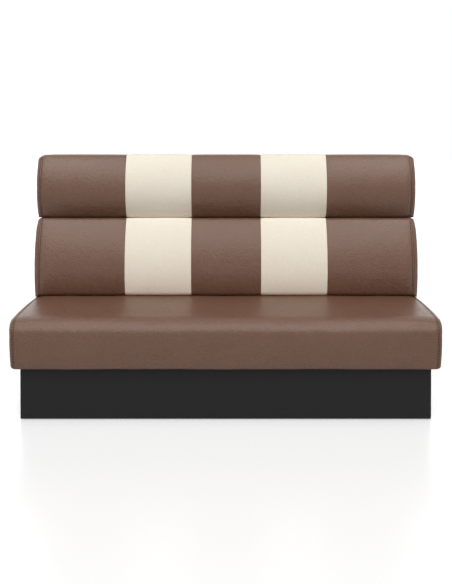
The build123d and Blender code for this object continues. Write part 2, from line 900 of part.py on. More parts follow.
with BuildPart() as back_fixing_bolts:
    bolt_seat = facing_front(rear_rail_front_y)
    pin(bolt_seat, back_bolt_points, washer_radius, washer_thickness)
    hexagon(
        bolt_seat.offset(washer_thickness),
        back_bolt_points,
        back_bolt_head_across_flats,
        back_bolt_head_height,
    )
    pin(bolt_seat, back_bolt_points, back_bolt_radius, -back_bolt_length)
save(back_fixing_bolts, "back_fixing_bolts")

# Roll bolts, from the hollow of the back frame into tee nuts in the roll boards
with BuildPart() as roll_fixing_bolts:
    bolt_seat = facing_front(back_rail_front_y)
    pin(bolt_seat, roll_bolt_points, washer_radius, -washer_thickness)
    hexagon(
        bolt_seat.offset(-washer_thickness),
        roll_bolt_points,
        roll_bolt_head_across_flats,
        -roll_bolt_head_height,
    )
    pin(bolt_seat, roll_bolt_points, roll_bolt_radius, roll_bolt_length)
save(roll_fixing_bolts, "roll_fixing_bolts")

with BuildPart() as roll_tee_nuts:
    nut_face = facing_front(roll_board_front_y)
    pin(nut_face, roll_bolt_points, tee_nut_flange_radius, -tee_nut_flange_thickness)
    pin(nut_face, roll_bolt_points, tee_nut_barrel_radius, -tee_nut_length)
    pin(nut_face, roll_bolt_points, roll_bolt_radius + fit_clearance, -tee_nut_length, Mode.SUBTRACT)
save(roll_tee_nuts, "roll_tee_nuts")

# Back rolls: a board, foam glued to it, and five sewn cover panels between two domed ends
for roll_name, roll in rolls.items():
    with BuildPart() as roll_board:
        board(
            (-end_seam_x + soft_clearance, roll_board_front_y, roll.bottom + foam_inset),
            (end_seam_x - soft_clearance, roll_board_rear_y, roll.top - foam_inset),
        )
        own_points = [point for point in roll_bolt_points if roll.bottom < point[1] < roll.top]
        pin(
            facing_front(roll_board_front_y),
            own_points,
            tee_nut_flange_radius + fit_clearance,
            -tee_nut_flange_thickness,
            Mode.SUBTRACT,
        )
        pin(
            facing_front(roll_board_front_y),
            own_points,
            tee_nut_barrel_radius + fit_clearance,
            -roll_board_thickness,
            Mode.SUBTRACT,
        )
    save(roll_board, f"{roll_name}_roll_board")

    with BuildPart() as roll_foam:
        foam_end_x = end_seam_x - soft_clearance
        extrude(
            roll_section(-foam_end_x, roll, foam_inset, roll_board_front_y - soft_clearance),
            amount=2 * foam_end_x,
        )
    save(roll_foam, f"{roll_name}_roll_foam")

    for panel_name, left, right in roll_panels:
        with BuildPart() as roll_cover:
            loft(
                [
                    roll_section(x, roll, inset, upholstery_rear_y)
                    for x, inset in panel_stations(left, right, roll_crown)
                ],
                ruled=True,
            )
            extrude(
                roll_section(left, roll, cover_inner_inset, upholstery_rear_y - cover_thickness),
                amount=right - left,
                mode=Mode.SUBTRACT,
            )
            board(
                (left, roll_board_rear_y, roll.bottom + staple_margin),
                (right, back_front_y, roll.top - staple_margin),
                Mode.SUBTRACT,
            )
        save(roll_cover, f"{roll_name}_cover_{panel_name}")

    for name, side in (("left", -1), ("right", 1)):
        with BuildPart() as roll_cover_end:
            loft(
                [
                    roll_section(x, roll, inset, upholstery_rear_y)
                    for x, inset in dome_stations(side, roll.end_dome, roll_end_edge)
                ],
                ruled=True,
            )
        save(roll_cover_end, f"{roll_name}_cover_{name}_end")
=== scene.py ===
import json
from math import asin, cos, hypot, pi, radians, sin, sqrt, tan

import bmesh
import bpy
import numpy as np
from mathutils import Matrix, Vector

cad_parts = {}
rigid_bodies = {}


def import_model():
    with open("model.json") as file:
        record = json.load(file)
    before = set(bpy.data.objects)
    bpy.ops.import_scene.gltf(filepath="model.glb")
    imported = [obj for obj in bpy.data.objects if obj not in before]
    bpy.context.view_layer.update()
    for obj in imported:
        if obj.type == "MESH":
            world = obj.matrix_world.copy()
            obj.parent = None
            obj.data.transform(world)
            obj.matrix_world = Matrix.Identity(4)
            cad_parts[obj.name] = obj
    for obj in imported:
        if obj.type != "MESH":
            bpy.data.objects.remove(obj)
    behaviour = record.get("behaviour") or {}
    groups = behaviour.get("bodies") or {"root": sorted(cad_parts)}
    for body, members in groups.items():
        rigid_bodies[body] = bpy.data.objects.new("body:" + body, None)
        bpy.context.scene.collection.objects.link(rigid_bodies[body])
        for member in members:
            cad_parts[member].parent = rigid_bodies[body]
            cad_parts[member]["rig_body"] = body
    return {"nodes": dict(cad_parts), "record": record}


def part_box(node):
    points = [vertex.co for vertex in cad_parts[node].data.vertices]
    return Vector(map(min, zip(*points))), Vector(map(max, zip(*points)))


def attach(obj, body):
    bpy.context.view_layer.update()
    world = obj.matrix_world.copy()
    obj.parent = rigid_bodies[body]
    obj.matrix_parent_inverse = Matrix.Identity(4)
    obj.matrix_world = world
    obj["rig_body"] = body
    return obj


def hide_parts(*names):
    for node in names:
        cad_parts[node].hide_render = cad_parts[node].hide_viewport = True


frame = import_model()
nodes = frame["nodes"]
scene = bpy.context.scene
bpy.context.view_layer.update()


# small helpers

def linearColour(hexCode, alpha=1.0):
    channels = [int(hexCode[i:i + 2], 16) / 255 for i in (1, 3, 5)]
    return tuple(c / 12.92 if c <= 0.04045 else ((c + 0.055) / 1.055) ** 2.4 for c in channels) + (alpha,)


def addNode(tree, kind, settings=None, links=None):
    # settings name an input of the node where it has one, and otherwise a property of it;
    # a link comes from a socket, or from a node's first output
    node = tree.nodes.new("ShaderNode" + kind)
    for key, value in (settings or {}).items():
        if isinstance(key, int) or key in node.inputs:
            node.inputs[key].default_value = value
        else:
            setattr(node, key, value)
    for key, source in (links or {}).items():
        tree.links.new(getattr(source, "outputs", [source])[0], node.inputs[key])
    return node


def newMaterial(name, base):
    # a surface with only its Principled BSDF and Object coordinates, which are metres in the row frame
    material = bpy.data.materials.new(name)
    material.use_nodes = True
    tree = material.node_tree
    tree.nodes.clear()
    shader = addNode(tree, "BsdfPrincipled", base)
    addNode(tree, "OutputMaterial", links={"Surface": shader})
    place = addNode(tree, "TexCoord").outputs["Object"]
    return material, tree, shader, place


def run(start, end, count):
    # evenly spaced numbers or points
    return np.linspace(start, end, count)


def arc(centre, radius, start, end, count, lift=1):
    # points of an arc ahead of its centre, by angles above or below the horizontal
    angles = run(start, end, count)
    ahead, above = radius * np.cos(angles), lift * radius * np.sin(angles)
    return np.stack([centre[0] - ahead, centre[1] + above], axis=1)


def frontCurve(nose, radius, height, corner, lift, counts):
    # from the nose up or down to a flat, through a rounded corner
    end = asin((height - corner) / (radius - corner))
    centre = (nose[0] + radius, nose[1])
    cornerReach = sqrt((radius - corner) ** 2 - (height - corner) ** 2)
    cornerCentre = (centre[0] - cornerReach, nose[1] + lift * (height - corner))
    front = arc(centre, radius, 0, end, counts[0], lift)
    return np.vstack([front[:-1], arc(cornerCentre, corner, end, pi / 2, counts[1], lift)])


def curveRadius(height, setback):
    return (height ** 2 + setback ** 2) / (2 * setback)


def chain(*parts):
    # joins runs that share their end points
    return np.vstack([part[:-1] for part in parts[:-1]] + [parts[-1]])


smoothAngle = radians(38)  # edges sharper than this stay crisp


def addObject(name, data):
    item = bpy.data.objects.new(name, data)
    scene.collection.objects.link(item)
    return item


def outwardMesh(name, points, faces):
    # a mesh whose faces all look outward
    mesh = bpy.data.meshes.new(name)
    mesh.from_pydata([tuple(p) for p in points], [], faces)
    shape = bmesh.new()
    shape.from_mesh(mesh)
    bmesh.ops.recalc_face_normals(shape, faces=shape.faces)
    shape.to_mesh(mesh)
    shape.free()
    return mesh


def makePiece(name, points, faces, node, slotName):
    # a mesh piece on the body of the CAD node that it stands for
    mesh = outwardMesh(name, points, faces)
    mesh.shade_smooth()
    mesh.set_sharp_from_angle(angle=smoothAngle)
    piece = addObject(name, mesh)
    mesh.materials.append(finishes[slotName])
    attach(piece, nodes[node]["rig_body"])
    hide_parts(node)
    return piece


def gridFaces(rows, columns, offset=0, closed=False):
    # quads of a grid of points, row after row, closed round each row if it is a loop
    faces = []
    for i in range(rows - 1):
        for j in range(columns if closed else columns - 1):
            k = (j + 1) % columns
            a, b = offset + i * columns, offset + (i + 1) * columns
            faces.append((a + j, a + k, b + k, b + j))
    return faces


def bandFaces(rows, columns, offset=0):
    # faces of a closed band of loops, with flat ends
    size = rows * columns
    return gridFaces(rows, columns, offset, closed=True) + [
        tuple(range(offset, offset + columns)), tuple(range(offset + size - columns, offset + size))]


def shell(outer, inner):
    # closed sheet with a thickness, from two grids of the same size
    rows, columns = outer.shape[:2]
    size = rows * columns
    points = np.vstack([outer.reshape(-1, 3), inner.reshape(-1, 3)])
    faces = gridFaces(rows, columns) + [face[::-1] for face in gridFaces(rows, columns, size)]
    for i in range(rows - 1):
        for j in (0, columns - 1):
            a, b = i * columns + j, (i + 1) * columns + j
            faces.append((a, b, b + size, a + size))
    for j in range(columns - 1):
        for i in (0, rows - 1):
            a = i * columns + j
            faces.append((a, a + 1, a + 1 + size, a + size))
    return points, faces


# finishes

def colourMix(tree, dark, light, share):
    colours = {"data_type": "RGBA", 6: linearColour(dark), 7: linearColour(light)}
    return addNode(tree, "Mix", colours, {0: share}).outputs[2]


def dress(tree, shader, tone, dark, light, height, strength, relief):
    # a colour between two by the tone's node, and a bump from the height's
    tree.links.new(colourMix(tree, dark, light, tone), shader.inputs["Base Color"])
    bump = addNode(tree, "Bump", {"Strength": strength, "Distance": relief}, {"Height": height})
    tree.links.new(bump.outputs[0], shader.inputs["Normal"])


leather = {
    "brown": {"colour": "#785845", "deep": "#644638", "roughness": 0.36, "specular": 0.55, "relief": 0.0022},
    "cream": {"colour": "#f5eedf", "deep": "#f0e6d5", "roughness": 0.6, "specular": 0.2, "relief": 0.0010},
    "grain": 0.0068,  # across one pebble of the embossing, really about 1 mm, coarser so that it shows
    "ior": 1.42,
}


def embossedLeatherette(name, colours):
    # PU-coated cloth, embossed with a fine pebble grain: satin, with soft broken highlights
    material, tree, shader, place = newMaterial(name, {"IOR": leather["ior"],
                                                       "Specular IOR Level": colours["specular"]})
    pebbles = addNode(tree, "TexVoronoi", {"feature": "SMOOTH_F1", "Scale": 1 / leather["grain"],
                      "Smoothness": 0.6, "Randomness": 0.9}, {"Vector": place})
    creases = addNode(tree, "TexNoise", {"Scale": 0.35 / leather["grain"], "Detail": 3,
                      "Roughness": 0.6}, {"Vector": place})
    cloud = addNode(tree, "TexNoise", {"Scale": 7, "Detail": 2}, {"Vector": place})
    height = addNode(tree, "Math", {"operation": "MULTIPLY_ADD", 1: -0.8},
                     {0: pebbles, 2: creases})
    tone = addNode(tree, "Math", {"operation": "MULTIPLY_ADD", 1: 0.55},
                   {0: cloud, 2: height})
    spread = addNode(tree, "MapRange", {"From Min": -0.1, "From Max": 1.1}, {"Value": tone})
    gloss = addNode(tree, "MapRange", {"From Min": 0.3, "From Max": 0.7,
                    "To Min": colours["roughness"] - 0.05, "To Max": colours["roughness"] + 0.07},
                    {"Value": creases})
    tree.links.new(gloss.outputs[0], shader.inputs["Roughness"])
    dress(tree, shader, spread, colours["deep"], colours["colour"], height, 0.5, colours["relief"])
    return material


def melamineLaminate():
    # black melamine laminate pressed on board: matt, with a faint pressed grain
    material, tree, shader, place = newMaterial("blackMelamineLaminate", {"Roughness": 0.55, "IOR": 1.3})
    grain = addNode(tree, "TexNoise", {"Scale": 420, "Detail": 4, "Roughness": 0.7},
                    {"Vector": place})
    dress(tree, shader, grain, "#0f0f0f", "#151515", grain, 0.25, 0.0002)
    return material


def sawnWood(name, pale, dark, ringSpacing, along, roughness):
    # wood with its rings stretched along one axis of the row frame
    material, tree, shader, place = newMaterial(name, {"Roughness": roughness, "IOR": 1.5})
    stretch = [1.0, 1.0, 1.0]
    stretch[along] = 0.06
    lined = addNode(tree, "Mapping", {"Scale": stretch}, {"Vector": place})
    rings = addNode(tree, "TexNoise", {"Scale": 1 / ringSpacing, "Detail": 3,
                    "Distortion": 0.6}, {"Vector": lined})
    fibre = addNode(tree, "TexNoise", {"Scale": 900, "Detail": 2}, {"Vector": lined})
    both = addNode(tree, "Math", {"operation": "MULTIPLY_ADD", 1: 0.3},
                   {0: fibre, 2: rings})
    spread = addNode(tree, "MapRange", {"From Min": 0.45, "From Max": 0.85}, {"Value": both})
    dress(tree, shader, spread, dark, pale, both, 0.3, 0.0003)
    return material


def spottedFinish(name, light, dark, spot, roughness, relief, base=None):
    # a finish with a random speckle, such as foam cells, zinc plating or spunbonded fibres
    material, tree, shader, place = newMaterial(name, {"Roughness": roughness, **(base or {})})
    spots = addNode(tree, "TexNoise", {"Scale": 1 / spot, "Detail": 3, "Roughness": 0.65},
                    {"Vector": place})
    spread = addNode(tree, "MapRange", {"From Min": 0.35, "From Max": 0.65}, {"Value": spots})
    dress(tree, shader, spread, dark, light, spots, 0.4, relief)
    return material


waveScale = 0.314  # the scale at which a wave texture repeats once a metre


def wovenStrap(name, thread, gap, pitch):
    # woven elastic webbing: raised threads both ways, dark between them
    material, tree, shader, place = newMaterial(name, {"Roughness": 0.85})
    lanes = [addNode(tree, "TexWave", {"bands_direction": axis, "Scale": waveScale / pitch,
                     "Distortion": 0.6, "Detail": 1}, {"Vector": place}).outputs["Fac"]
             for axis in ("X", "Y")]
    weave = addNode(tree, "Math", {"operation": "MULTIPLY"}, {0: lanes[0], 1: lanes[1]})
    dress(tree, shader, weave, gap, thread, weave, 0.6, 0.0006)
    return material


def plies(material, axis, pitch):
    # the plies that a board's edges show, dark and pale across its thickness
    tree = material.node_tree
    shader = next(node for node in tree.nodes if node.type == "BSDF_PRINCIPLED")
    face = shader.inputs["Base Color"].links[0].from_socket
    place = addNode(tree, "TexCoord")
    layers = addNode(tree, "TexWave", {"bands_direction": axis, "Scale": waveScale / pitch,
                     "Distortion": 0.4}, {"Vector": place.outputs["Object"]})
    normal = addNode(tree, "SeparateXYZ", links={0: place.outputs["Normal"]})
    upright = addNode(tree, "Math", {"operation": "ABSOLUTE"}, {0: normal.outputs[axis]})
    onEdge = addNode(tree, "Math", {"operation": "LESS_THAN", 1: 0.5}, {0: upright})
    stripes = colourMix(tree, "#9c7648", "#e2c99d", layers.outputs["Fac"])
    mix = addNode(tree, "Mix", {"data_type": "RGBA"}, {0: onEdge, 6: face, 7: stripes})
    tree.links.new(mix.outputs[2], shader.inputs["Base Color"])
    return material


pine = [sawnWood(f"planedPineAlong{axis}", "#d9b988", "#b98f58", 0.009, k, 0.62)
        for k, axis in enumerate("XYZ")]
birch = [plies(sawnWood(f"birchPlywoodAlong{axis}", "#d8bd93", "#c3a273", 0.02, k, 0.6), thickness, 0.0026)
         for k, axis, thickness in ((0, "X", "Y"), (1, "Y", "X"))]
grainAlong = {"back_uprights": 2, "plinth_corner_blocks": 2, "seat_end_rails": 1, "seat_cross_rails": 1,
              "plinth_cross_rails": 1}  # the axis of the grain where it isn't the bench's length
finishes = {
    "brown_leatherette": embossedLeatherette("embossedBrownLeatherette", leather["brown"]),
    "cream_leatherette": embossedLeatherette("embossedCreamLeatherette", leather["cream"]),
    "black_laminate": melamineLaminate(),
    "timber": pine[0],
    "plywood": birch[0],
    "hardboard": spottedFinish("oilTemperedHardboard", "#6a4a33", "#54382a", 0.0016, 0.6, 0.0002),
    "foam": spottedFinish("openCellFoam", "#e9e3c4", "#cfc8a4", 0.002, 0.95, 0.0006),
    # threads really 1.5 mm apart, coarser so that they show
    "webbing": wovenStrap("wovenElasticWebbing", "#3a3a40", "#141416", 0.005),
    "dust_cover": spottedFinish("spunbondedPolypropylene", "#2a2a2a", "#1a1a1a", 0.0018, 0.9, 0.0003),
    "zinc_steel": spottedFinish("zincPlatedSteel", "#b9bcbd", "#9a9ea1", 0.012, 0.32, 0.00005,
                                {"Metallic": 1.0}),
    "nylon": spottedFinish("mouldedBlackNylon", "#1e1e1f", "#141415", 0.004, 0.45, 0.0001),
}
threadFinish = spottedFinish("twistedPolyesterThread", "#1c120d", "#110b08", 0.0006, 0.8, 0.0002,
                             {"Specular IOR Level": 0.2})
for part in frame["record"]["subparts"]:
    node = nodes[part["node"]]
    slotName = part["material_slot"]
    woods = {"timber": pine, "plywood": birch}.get(slotName)
    node.data.materials.clear()
    node.data.materials.append(woods[grainAlong.get(part["node"], 0)] if woods else finishes[slotName])
print("finishes:", len(finishes) + 1)


# shapes of the upholstery, in metres

seam = {
    "draw": 0.0012,  # how far a seam pulls the cover in
    "spread": 0.014,  # how fast that fades away from it
    "fold": 0.0022,  # the last turn into the seam
    "foldWidth": 0.0026,
    "endFold": 1.6,  # the end seams are this much deeper
    "endZone": 0.01,  # and the panels too, this near to them
    "endSet": 0.0003,  # how much further in a domed end starts than the panel beside it
    "gap": 0.0001,  # half the space between two pieces at a seam
    "thickness": 0.0012,
    "overBoard": 0.0002,  # the cover's gap to a board's edge
    "boardShare": 0.7,  # of the flat before it, over which the cover rises to clear it
    "boardFade": 0.006,  # the rounding of an end at which it no longer follows the board
    "stitchFrom": 0.0068,  # how far outside an end seam its stitches run
    "groove": 0.0003,  # the line that they pull into it
    "grooveWidth": 0.0011,
}
# distances of a panel's first rows from its seam, and of a domed end's
steps = [0, 0.0004, 0.0009, 0.0014, 0.002, 0.0032, 0.0048, 0.0068, 0.0095, 0.013, 0.0175, 0.023, 0.0295,
         0.037, 0.0455, 0.055]
endSteps = [0, 0.0004, 0.0009, 0.0014, 0.002, 0.003, 0.0042, 0.0050, 0.0056, 0.0062, 0.0068, 0.0074, 0.0080,
            0.0092]


def foldInset(distance, share=1.0):
    near = np.clip(distance / (seam["foldWidth"] * share), 0, 1)
    return seam["fold"] * share * (1 - np.sqrt(1 - (1 - near) ** 2))


def endInset(x, form):
    # the padding's rounded ends: how much further the cover stands in near the last seams
    return form["endDraw"] * (np.exp(-np.abs(x - form["left"]) / form["endSpread"])
                              + np.exp(-np.abs(form["right"] - x) / form["endSpread"]))


def panelInset(places, left, right, form):
    # how far the cover stands in across a panel
    distance = np.minimum(places - left, right - places)
    crown = form["crown"] * (1 - distance / ((right - left) / 2)) ** form["crownPower"]
    fromEnd = np.minimum(places - form["left"], form["right"] - places)
    fold = np.where(fromEnd < seam["endZone"], foldInset(distance, seam["endFold"]), foldInset(distance))
    return crown + seam["draw"] * np.exp(-distance / seam["spread"]) + fold + endInset(places, form)


def panelRows(left, right, pitch):
    # places across a panel, close together at its two seams
    first, last = left + seam["gap"], right - seam["gap"]
    middle = run(first + steps[-1], last - steps[-1], max(3, int((last - first - 2 * steps[-1]) / pitch)))
    return np.concatenate([first + np.array(steps[:-1]), middle, last - np.array(steps[:-1])[::-1]])


def softness(x, level, amount):
    # slow unevenness of stuffed cloth
    return amount * (np.sin(9.1 * x + 1.3) * np.sin(23 * level + 0.7) + 0.6 * np.sin(21 * x + 13 * level)
                     + 0.4 * np.sin(47 * x - 31 * level + 2.1))


def rollOutline(roll, inset, thickness=0.0, rise=0.0, sag=0.0, overBoard=0.0):
    # end view of a roll's cover, from its staples at the rear over the top and front to those at the bottom;
    # overBoard: how much of what it needs to clear the board's rear edges it is lifted there
    nose = (roll["front"] + inset, roll["noseLevel"])
    rear = roll["rear"] - thickness
    halves = []
    for edge, setback, corner, lift, drop, board in (
        (roll["top"], roll["topSetback"], roll["topCorner"], 1, rise, roll["board"][1]),
        (roll["bottom"], roll["bottomSetback"], roll["bottomCorner"], -1, sag, roll["board"][0]),
    ):
        height = lift * (edge - roll["noseLevel"]) + drop
        counts = roll["upCounts"] if lift > 0 else roll["downCounts"]
        front = frontCurve(nose, curveRadius(height, setback) - inset, height - inset,
                           max(corner - inset, corner / 2), lift, counts)
        level, turn = front[-1][1], roll["rearRadius"]
        raised = lift * (board - level) + seam["thickness"] + seam["overBoard"] - thickness
        raised = overBoard * max(0, raised)
        flat = run(front[-1], (rear - turn, level), roll["flatCount"])
        share = np.clip(run(0, 1, roll["flatCount"]) / seam["boardShare"], 0, 1)
        flat[:, 1] += lift * raised * share ** 2 * (3 - 2 * share)
        level = flat[-1][1]
        bend = arc((rear - turn, level - lift * turn), -turn, pi / 2, 0, 4, -lift)
        margin = run((rear, level - lift * turn), (rear, edge - lift * roll["margin"]), 8)
        halves.append(chain(front, flat, bend, margin))
    return np.vstack([halves[0][::-1], halves[1][1:]])


seat = {
    "levelHeight": 0.2112,  # of its top and its nose over its bottom
    "noseHeight": 0.147,
    "noseRadius": 0.057,
    "shoulderRadius": 0.117,  # the wider curve from the nose into the top
    "shoulderFrom": radians(67),
    "noseTurn": radians(86.8),
    "lean": 0.015,  # how far the front's foot stands behind its nose
    "toe": 0.010,
    "lip": 0.0062,  # the padding hangs over the front rail's lower edge
    "lipWidth": 0.0048,
    "flatDepth": 0.1547,  # the level part at the rear
    "margin": 0.04,  # how wide the cover is turned in and stapled
    "rearRadius": 0.004,
    "dome": 0.0235,  # how far an end stands out of its seam
    "edge": 0.010,  # how far its outline goes in
    "firstTurn": 30,  # the slope at which it leaves the seam, in degrees
    "taper": 0.16,  # how much less it stands out at its bottom, its top and its front
    "topTaper": 0,
    "foreTaper": 0.24,
    "crown": 0.0020,  # how far a panel stands in beside its seams
    "crownPower": 8,
    "endDraw": 0.0012,
    "endSpread": 0.012,
    "held": (6, 51),  # points of the outline that the cloth simulation holds, at its start and end
    "trim": 5,  # points of it under the bench, which an end leaves out
    "stitched": slice(7, -29),  # of an end's outline, and of the whole one that the foam follows
    "foamed": slice(5, -32),
    "slack": 0.0007,
    "swell": 0.0022,
    "endSwell": 0.0030,
    "pitch": 0.014,
}
low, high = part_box("seat_cover_main")
seat.update(left=low.x, right=high.x, front=low.y, rear=high.y, bottom=low.z, top=high.z,
            level=low.z + seat["levelHeight"], noseLevel=low.z + seat["noseHeight"])


def seatOutline(inset, thickness=0.0, sag=0.0):
    # end view of the seat's cover, from the staples under its front over the nose to those under its rear
    turn, radius = seat["noseTurn"], seat["noseRadius"] - inset
    bottom, rear = seat["bottom"] + thickness - sag, seat["rear"] - thickness
    nose = (seat["front"] + inset, seat["noseLevel"])
    corner, wide = seat["shoulderFrom"], seat["shoulderRadius"] - seat["noseRadius"]
    middle = (nose[0] + radius, nose[1])
    shoulder = (middle[0] + wide * cos(corner), middle[1] - wide * sin(corner))
    noseCurve = chain(arc(middle, radius, 0, corner, 14), arc(shoulder, radius + wide, corner, turn, 12))
    topEnd = (seat["rear"] - seat["flatDepth"], seat["level"] - inset)
    rise = np.array(topEnd) - noseCurve[-1]
    topRadius = (rise @ rise) / (2 * (rise[0] * cos(turn) - rise[1] * sin(turn)))
    centre = noseCurve[-1] + topRadius * np.array([cos(turn), -sin(turn)])
    topTurn = 2 * asin(sqrt(rise @ rise) / (2 * topRadius))
    topCurve = arc(centre, topRadius, turn, turn + topTurn, 48)
    drop = seat["noseLevel"] - bottom + seat["lip"]
    toe = max(seat["toe"] - inset, seat["toe"] / 2)
    down = frontCurve(nose, curveRadius(drop, seat["lean"]), drop, toe, -1, (22, 8))
    bands = run(0, 1, 6)
    wrap = np.stack([down[-1][0] + seat["lipWidth"] * bands,
                     bottom - seat["lip"] * (1 - bands ** 2 * (3 - 2 * bands))], axis=1)
    under = run(wrap[-1], (seat["front"] + seat["lean"] + seat["margin"], bottom), 6)
    turnBack = seat["rearRadius"]
    flat = run(topCurve[-1], (rear - turnBack, topEnd[1]), 20)
    bend = arc((rear - turnBack, topEnd[1] - turnBack), -turnBack, pi / 2, 0, 5, -1)
    back = run((rear, topEnd[1] - turnBack), (rear, bottom + turnBack), 24)
    heel = arc((rear - turnBack, bottom + turnBack), -turnBack, 0, pi / 2, 4, 1)
    last = run((rear - turnBack, bottom), (rear - seat["margin"], bottom), 6)
    return chain(chain(down, wrap, under)[::-1], noseCurve, topCurve, flat, bend, back, heel, last)


def seatAt(x, inset, thickness=0.0, rounding=0.0, padding=False):
    # rounding: how far a row of a domed end has gone in, which lifts its lower edge
    return seatOutline(inset, thickness, -rounding)


seat["at"] = seatAt
seat["seams"] = [seat["left"], seat["right"]]


def seatDip(x):
    # how far the seat's top stands below its level along the bench
    away = min(abs(x - seat["left"]), abs(seat["right"] - x))
    crown = seat["crown"] * (1 - away / seat["right"]) ** seat["crownPower"]
    return crown + seam["draw"] * np.exp(-away / seam["spread"]) + endInset(x, seat)


rollShapes = {
    "lower": {"noseLevel": 0.562, "topSetback": 0.0715, "bottomSetback": 0.022, "topCorner": 0.020,
              "bottomCorner": 0.026, "dome": 0.0275, "topTaper": 0.32, "endRise": 0.5, "endSag": 1.42},
    "upper": {"noseLevel": 0.950, "topSetback": 0.056, "bottomSetback": 0.050, "topCorner": 0.026,
              "bottomCorner": 0.026, "dome": 0.0228, "topTaper": 0.0, "endRise": 0, "endSag": 1.05},
}
bothRolls = {
    "margin": 0.04,
    "rearRadius": 0.003,
    "upCounts": (44, 8),  # points of the outline on each curve and corner, and on each flat
    "downCounts": (24, 7),
    "flatCount": 22,
    "edge": 0.017,
    "firstTurn": 30,
    "taper": 0,
    "foreTaper": 0,
    "crown": 0.0008,
    "crownPower": 2,
    "endDraw": 0.0045,
    "endSpread": 0.010,
    "endHem": 0.0055,  # how far inside the CAD's ends the end seams are sewn
    "giveBack": 1.45,  # how much of an end seam's draw the outline's height makes up for
    "held": (24, 24),
    "trim": 7,
    "stitched": slice(21, -21),
    "foamed": slice(10, -10),
    "slack": 0.0004,
    "swell": 0.0010,
    "endSwell": 0.0030,
    "pitch": 0.012,
}
panelNames = ("brown_left", "cream_left", "brown_centre", "cream_right", "brown_right")
for name, roll in rollShapes.items():
    low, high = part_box(f"{name}_cover_brown_centre")
    roll.update(bothRolls, front=low.y, rear=high.y, bottom=low.z, top=high.z)
    roll["seams"] = sorted({round(corner.x, 5) for panel in panelNames
                            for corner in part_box(f"{name}_cover_{panel}")})
    roll["seams"][0] += roll["endHem"]
    roll["seams"][-1] -= roll["endHem"]
    roll["left"], roll["right"] = roll["seams"][0], roll["seams"][-1]
    roll["board"] = [corner.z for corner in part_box(f"{name}_roll_board")]

    def rollAt(x, inset, thickness=0.0, rounding=0.0, padding=False, roll=roll, rests=name == "lower"):
        # a face that rests on another nearly keeps its level at the ends; the lower roll follows the seat
        near = min(max(x, roll["left"]), roll["right"])
        drawn = roll["giveBack"] * float(endInset(near, roll))
        rise = drawn + roll["endRise"] * rounding if rests else 0.0
        sag = drawn + roll["endSag"] * rounding + (seatDip(near) if rests else 0.0)
        over = 0 if padding else max(0, 1 - rounding / seam["boardFade"])
        return rollOutline(roll, inset, thickness, rise, sag, over)

    roll["at"] = rollAt
print("shapes:", {name: round(roll["top"], 4) for name, roll in rollShapes.items()})


def outlineNormals(points):
    tangent = np.gradient(points, axis=0)
    normal = np.stack([tangent[:, 1], -tangent[:, 0]], axis=1)
    return normal / np.linalg.norm(normal, axis=1)[:, None]


def domeRows(form, near, angles, grooved):
    # profile of a domed end from its seam: how far out it stands and how far in its outline has gone
    first = radians(form["firstTurn"])
    start = form["crown"] + seam["draw"] + form["endDraw"] + seam["endSet"]
    turns = [asin(sin(first) + d / form["dome"] * (1 - sin(first))) for d in near]
    rows = []
    for turn in turns + [radians(a) for a in angles]:
        out = form["dome"] * (sin(turn) - sin(first)) / (1 - sin(first))
        rounding = form["edge"] * (cos(first) - cos(turn)) / cos(first)
        groove = seam["groove"] * np.exp(-((out - seam["stitchFrom"]) / seam["grooveWidth"]) ** 2)
        inset = start + rounding + foldInset(out, seam["endFold"]) + (groove if grooved else 0)
        rows.append((out, inset, rounding))
    return rows


# foreDepth: how far back from its front an end stands out less; bulge and span: of its nearly flat middle
cap = {"foreDepth": 0.11, "topPower": 8, "bulge": 0.0012, "span": 0.07}


def endGrid(form, side, rows, shares):
    # rows of a domed end from its seam to its middle, how far along each lies, and its last point
    seamX = form["right"] if side > 0 else form["left"]
    trim = form["trim"]
    loops = []
    for out, inset, rounding in rows:
        loop = form["at"](seamX, inset, 0.0, rounding)[trim:-trim]
        below = np.clip((form["noseLevel"] - loop[:, 1]) / (form["noseLevel"] - form["bottom"]), 0, 1)
        above = np.clip((loop[:, 1] - form["noseLevel"]) / (form["top"] - form["noseLevel"]), 0, 1)
        fore = np.clip(1 - (loop[:, 0] - form["front"]) / cap["foreDepth"], 0, 1)
        reach = out * (1 - form["taper"] * below ** 2) * (1 - form["topTaper"] * above ** cap["topPower"])
        reach = reach * (1 - form["foreTaper"] * fore ** 2)
        loops.append(np.column_stack([seamX + side * (seam["gap"] + reach), loop]))
    measures = [0.0]
    for a, b in zip(rows, rows[1:]):
        measures.append(measures[-1] + hypot(b[0] - a[0], b[1] - a[1]))
    last = loops[-1]
    centre = (last.min(axis=0) + last.max(axis=0)) / 2
    centre[0] = side * np.abs(last[:, 0]).max()
    rim = measures[-1]
    for share in shares:
        ring = centre + (last - centre) * share
        ring[:, 0] += side * cap["bulge"] * (1 - share ** 2)
        loops.append(ring)
        measures.append(rim + cap["span"] * (1 - share))
    tip = centre + [side * cap["bulge"], 0, 0]
    return np.array(measures), np.array(loops), tip


# cloth simulation of the covers: each skin is blown up, and what it moves is kept within a small limit

cloth = {"pressure": 4.0, "frames": 20, "mass": 0.3, "quality": 5, "tension": 15, "bending": 0.5,
         "rearPoints": 6, "seamShape": 0.003, "near": (0,), "angles": (44, 60, 76, 90),
         "shares": (0.84, 0.66, 0.48, 0.3, 0.14), "coarser": 0.75}


